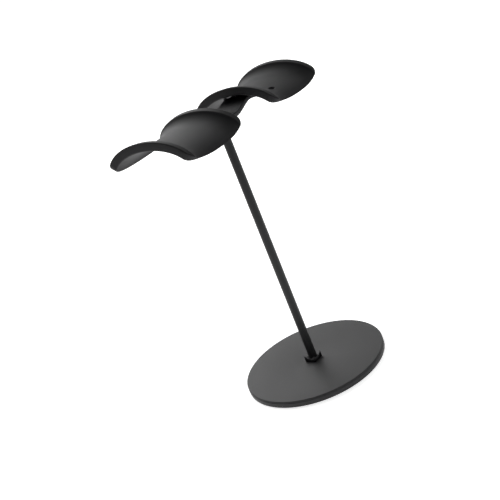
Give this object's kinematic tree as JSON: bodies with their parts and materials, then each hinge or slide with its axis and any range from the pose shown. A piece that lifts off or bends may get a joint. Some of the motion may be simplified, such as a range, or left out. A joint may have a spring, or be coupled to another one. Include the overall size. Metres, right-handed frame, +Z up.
{
  "type": "twin saddle display stand",
  "caption": "Free-standing stand: round weighted base, thin upright post and a bridge carrying wide concave saddles side by side for hanging and displaying headbands or eyewear.",
  "frame": {"origin": "centre of the base's underside, on the surface that the stand rests on", "axes": "+Z up along the post; X along the head from saddle to saddle; Y across the saddles"},
  "size_m": [0.165, 0.12, 0.24],
  "materials": {
    "pad_rubber": "matte black foam rubber",
    "ballast_steel": "plain steel plate, hidden",
    "base_paint": "fine satin black powder coat",
    "post_paint": "satin black powder coat",
    "bridge_paint": "satin black powder coat",
    "saddle_plastic": "smooth matte black moulded plastic",
    "fastener_steel": "zinc plated steel",
    "insert_brass": "plain turned brass, hidden"
  },
  "bodies": {
    "root": {"base_pad": "pad_rubber", "ballast_disc": "ballast_steel", "base_cover": "base_paint", "base_bolt": "fastener_steel", "base_spring_washer": "fastener_steel", "base_washer": "fastener_steel", "foot_socket": "post_paint", "post": "post_paint", "post_foot_insert": "insert_brass", "post_head_insert": "insert_brass", "head_bridge": "bridge_paint", "head_bolt": "fastener_steel", "head_washer": "fastener_steel", "saddle_left": "saddle_plastic", "saddle_right": "saddle_plastic", "saddle_screws": "fastener_steel"}
  },
  "joints": []
}
